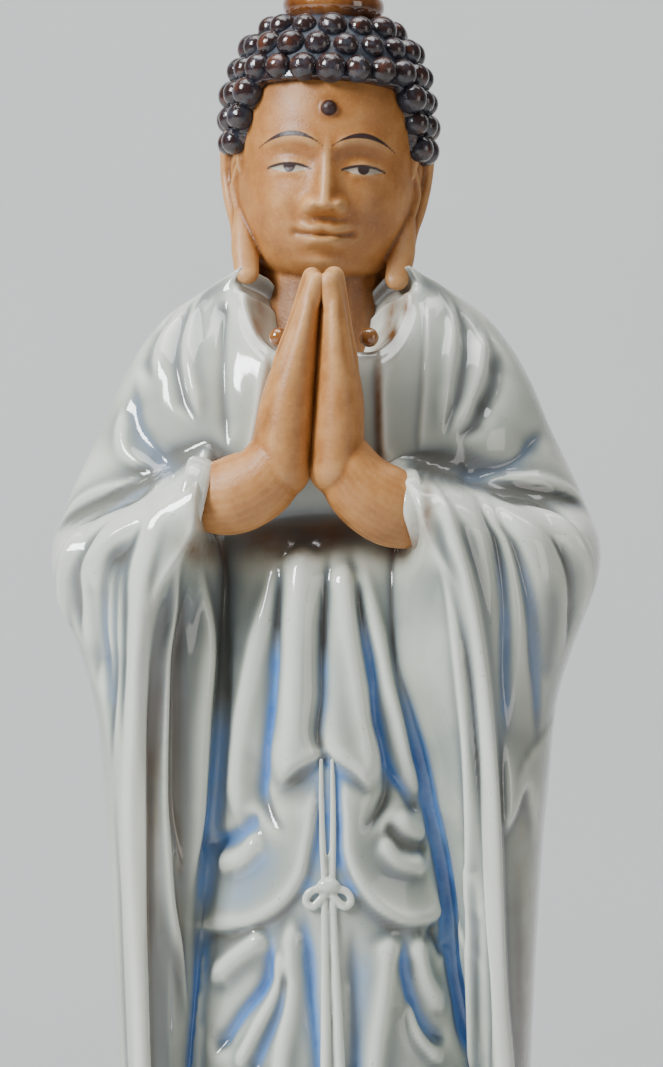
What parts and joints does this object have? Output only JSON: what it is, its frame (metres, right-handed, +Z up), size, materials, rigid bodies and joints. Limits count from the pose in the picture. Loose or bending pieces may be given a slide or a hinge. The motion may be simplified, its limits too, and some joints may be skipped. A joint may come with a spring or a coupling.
{
  "type": "ceramic buddha statue",
  "caption": "Standing glazed ceramic figure of a robed Buddha with joined palms, on a low oval base; a household ornament.",
  "frame": {"origin": "centre of the oval base's flat underside, where the statue stands", "axes": "+Z up along the figure, -Y to its front, +X to its left hand"},
  "size_m": [0.1283, 0.0939, 0.38],
  "materials": {
    "robe_glaze": "glossy pale grey-green glaze, blue in the deep folds",
    "bare_clay": "ochre-brown clay with a faint sheen, face, ears and hands",
    "hair_glaze": "glossy brown-black glaze, milky blue between the curls",
    "amber_glaze": "glossy amber-brown glaze, beads and dome"
  },
  "bodies": {
    "root": {"buddha_figure": "robe_glaze"}
  },
  "joints": []
}
